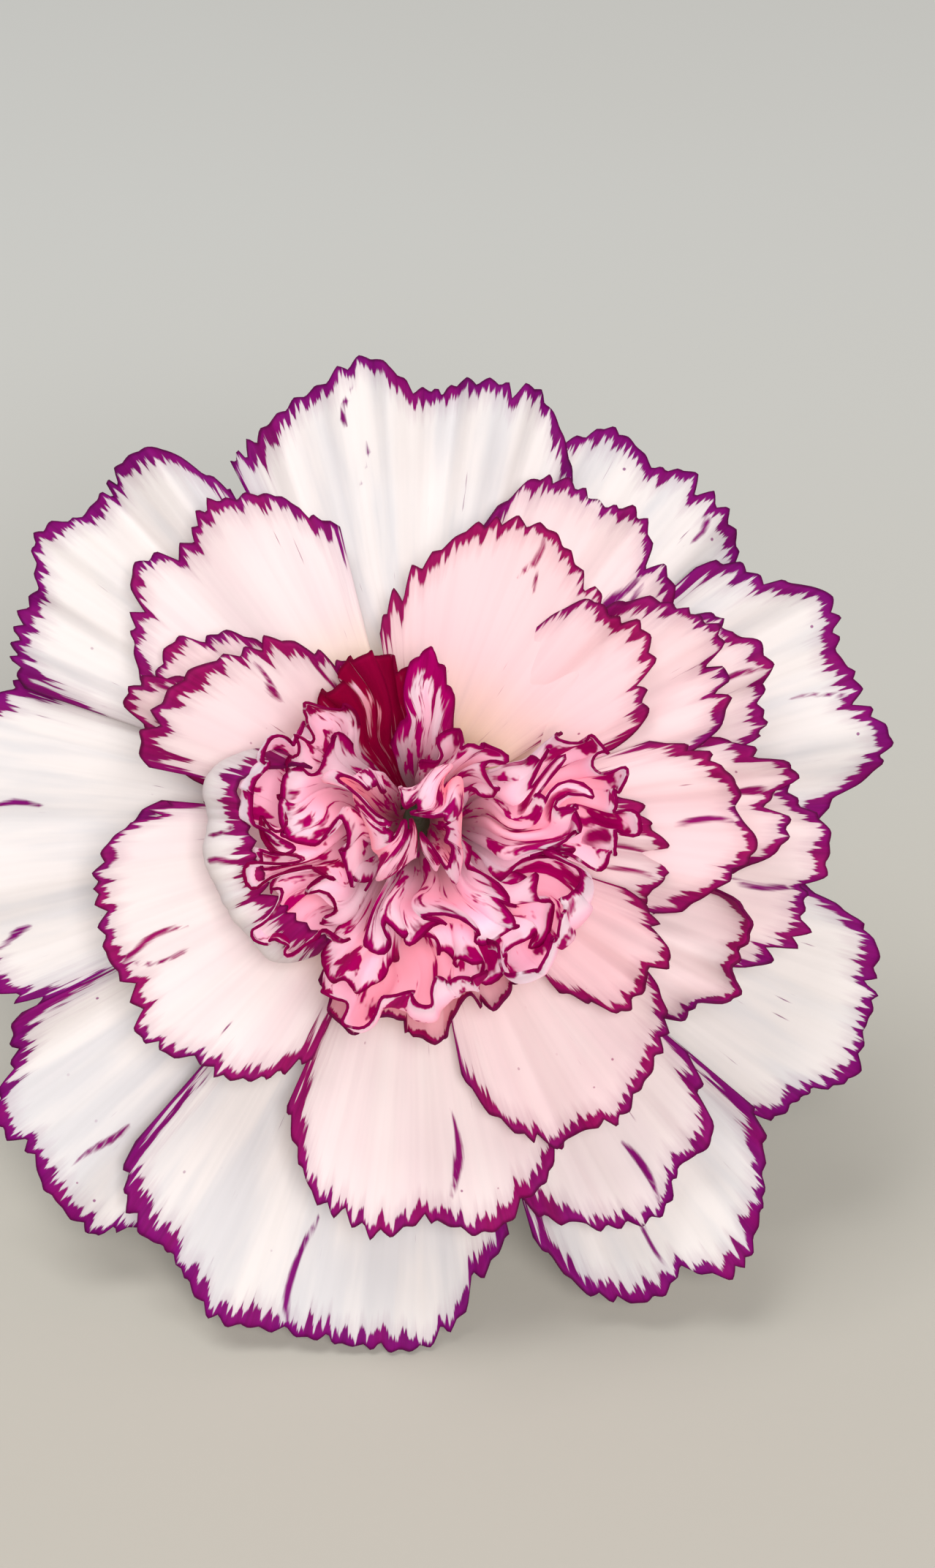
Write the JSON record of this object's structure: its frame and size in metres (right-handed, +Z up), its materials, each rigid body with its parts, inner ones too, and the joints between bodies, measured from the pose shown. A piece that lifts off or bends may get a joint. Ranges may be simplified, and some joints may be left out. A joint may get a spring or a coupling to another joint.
{
  "type": "cut carnation",
  "caption": "Double picotee carnation bloom of fringed white petals edged in purple, with a tubular green calyx and a short leafy cut stem, lying down.",
  "frame": {"origin": "under the middle of the flower's bounding box, on the surface it lies on", "axes": "+Z up from the surface; +Y from the bloom along the stem to its cut end; the bloom faces -Y and upwards"},
  "size_m": [0.0796, 0.1766, 0.0701],
  "materials": {
    "guard_petal": "matte",
    "ring_petal": "matte",
    "heart_petal": "matte",
    "calyx": "waxy",
    "stem": "waxy",
    "leaf": "waxy"
  },
  "bodies": {
    "root": {"bract_1": "calyx", "bract_2": "calyx", "bract_3": "calyx", "bract_4": "calyx", "calyx": "calyx", "guard_petal_01": "guard_petal", "guard_petal_02": "guard_petal", "guard_petal_03": "guard_petal", "guard_petal_04": "guard_petal", "guard_petal_05": "guard_petal", "guard_petal_06": "guard_petal", "guard_petal_07": "guard_petal", "guard_petal_08": "guard_petal", "guard_petal_09": "guard_petal", "guard_petal_10": "guard_petal", "heart_petal_01": "heart_petal", "heart_petal_02": "heart_petal", "heart_petal_03": "heart_petal", "heart_petal_04": "heart_petal", "heart_petal_05": "heart_petal", "heart_petal_06": "heart_petal", "heart_petal_07": "heart_petal", "heart_petal_08": "heart_petal", "heart_petal_09": "heart_petal", "heart_petal_10": "heart_petal", "heart_petal_11": "heart_petal", "heart_petal_12": "heart_petal", "heart_petal_13": "heart_petal", "heart_petal_14": "heart_petal", "heart_petal_15": "heart_petal", "heart_petal_16": "heart_petal", "heart_petal_17": "heart_petal", "leaf_1": "leaf", "leaf_2": "leaf", "leaf_3": "leaf", "leaf_4": "leaf", "ring_petal_01": "ring_petal", "ring_petal_02": "ring_petal", "ring_petal_03": "ring_petal", "ring_petal_04": "ring_petal", "ring_petal_05": "ring_petal", "ring_petal_06": "ring_petal", "ring_petal_07": "ring_petal", "ring_petal_08": "ring_petal", "ring_petal_09": "ring_petal", "ring_petal_10": "ring_petal", "ring_petal_11": "ring_petal", "ring_petal_12": "ring_petal", "ring_petal_13": "ring_petal", "ring_petal_14": "ring_petal", "ring_petal_15": "ring_petal", "ring_petal_16": "ring_petal", "ring_petal_17": "ring_petal", "ring_petal_18": "ring_petal", "ring_petal_19": "ring_petal", "ring_petal_20": "ring_petal", "ring_petal_21": "ring_petal", "ring_petal_22": "ring_petal", "ring_petal_23": "ring_petal", "stem": "stem"}
  },
  "joints": []
}
